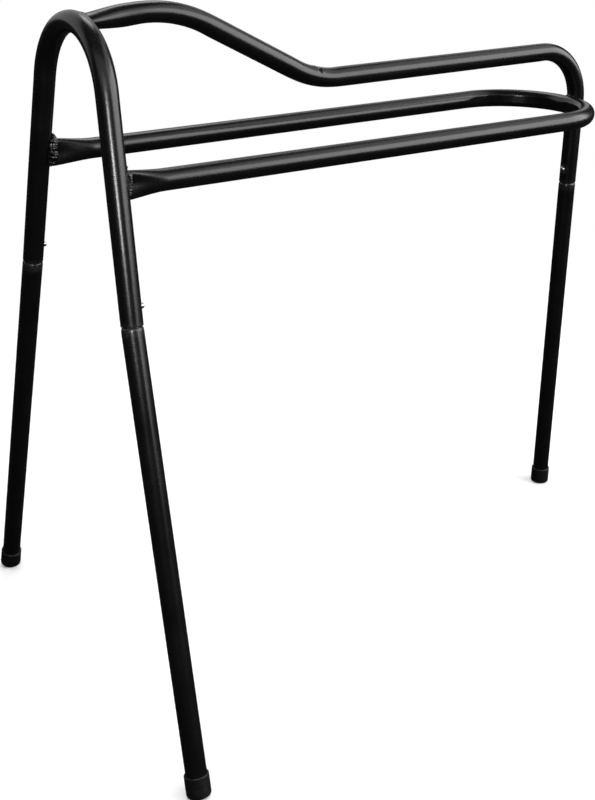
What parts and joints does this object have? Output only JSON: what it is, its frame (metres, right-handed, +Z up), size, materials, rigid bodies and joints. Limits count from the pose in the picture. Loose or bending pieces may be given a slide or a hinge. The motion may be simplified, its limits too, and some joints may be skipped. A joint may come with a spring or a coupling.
{
  "type": "saddle rack",
  "caption": "Free-standing rack of bent round tube that holds a saddle on two side rails and a raised spine, on plug-in legs.",
  "frame": {"origin": "on the floor, under the middle of the rack's bounding box", "axes": "+Z up, +X from the front arch back to the rear leg, +Y to the right of a horse that faces the arch end; left pieces are at -Y"},
  "size_m": [0.8868, 0.6208, 0.8499],
  "materials": {
    "powder_coat": "satin black powder coat with a fine texture",
    "weld": "black powder coat over a rippled weld bead",
    "rubber": "matt black moulded rubber",
    "zinc_steel": "bright zinc plate",
    "spring_steel": "plain spring steel"
  },
  "bodies": {
    "frame": {"front_arch": "powder_coat", "spine_tube": "powder_coat", "side_rail_loop": "powder_coat", "weld_spine": "weld", "weld_rail_left": "weld", "weld_rail_right": "weld", "weld_loop": "weld"},
    "leg_left": {"leg_left": "powder_coat", "foot_cap_left": "rubber", "snap_spring_left": "spring_steel"},
    "leg_right": {"leg_right": "powder_coat", "foot_cap_right": "rubber", "snap_spring_right": "spring_steel"},
    "leg_rear": {"leg_rear": "powder_coat", "foot_cap_rear": "rubber", "snap_spring_rear": "spring_steel"},
    "button_left": {"snap_button_left": "zinc_steel"},
    "button_right": {"snap_button_right": "zinc_steel"},
    "button_rear": {"snap_button_rear": "zinc_steel"}
  },
  "joints": [
    {"name": "leg_left_pull", "type": "slide", "parent": "frame", "child": "leg_left", "axis": [-0.0822, -0.2334, -0.9689], "range_m": [0, 0.07], "deforming": ["snap_button_left"]},
    {"name": "leg_right_pull", "type": "slide", "parent": "frame", "child": "leg_right", "axis": [-0.0822, 0.2334, -0.9689], "range_m": [0, 0.07], "deforming": ["snap_button_right"]},
    {"name": "leg_rear_pull", "type": "slide", "parent": "frame", "child": "leg_rear", "axis": [-0.037, 0, -0.9993], "range_m": [0, 0.07], "deforming": ["snap_button_rear"]},
    {"name": "button_left_press", "type": "slide", "parent": "leg_left", "child": "button_left", "axis": [-0.9966, 0.0193, 0.08], "range_m": [0, 0.0052], "stiffness_N_per_m": 800, "springref_m": -0.005, "deforming": ["snap_spring_left"]},
    {"name": "button_right_press", "type": "slide", "parent": "leg_right", "child": "button_right", "axis": [-0.9966, -0.0193, 0.08], "range_m": [0, 0.0052], "stiffness_N_per_m": 800, "springref_m": -0.005, "deforming": ["snap_spring_right"]},
    {"name": "button_rear_press", "type": "slide", "parent": "leg_rear", "child": "button_rear", "axis": [0.9993, 0, -0.037], "range_m": [0, 0.0052], "stiffness_N_per_m": 800, "springref_m": -0.005, "deforming": ["snap_spring_rear"]}
  ]
}
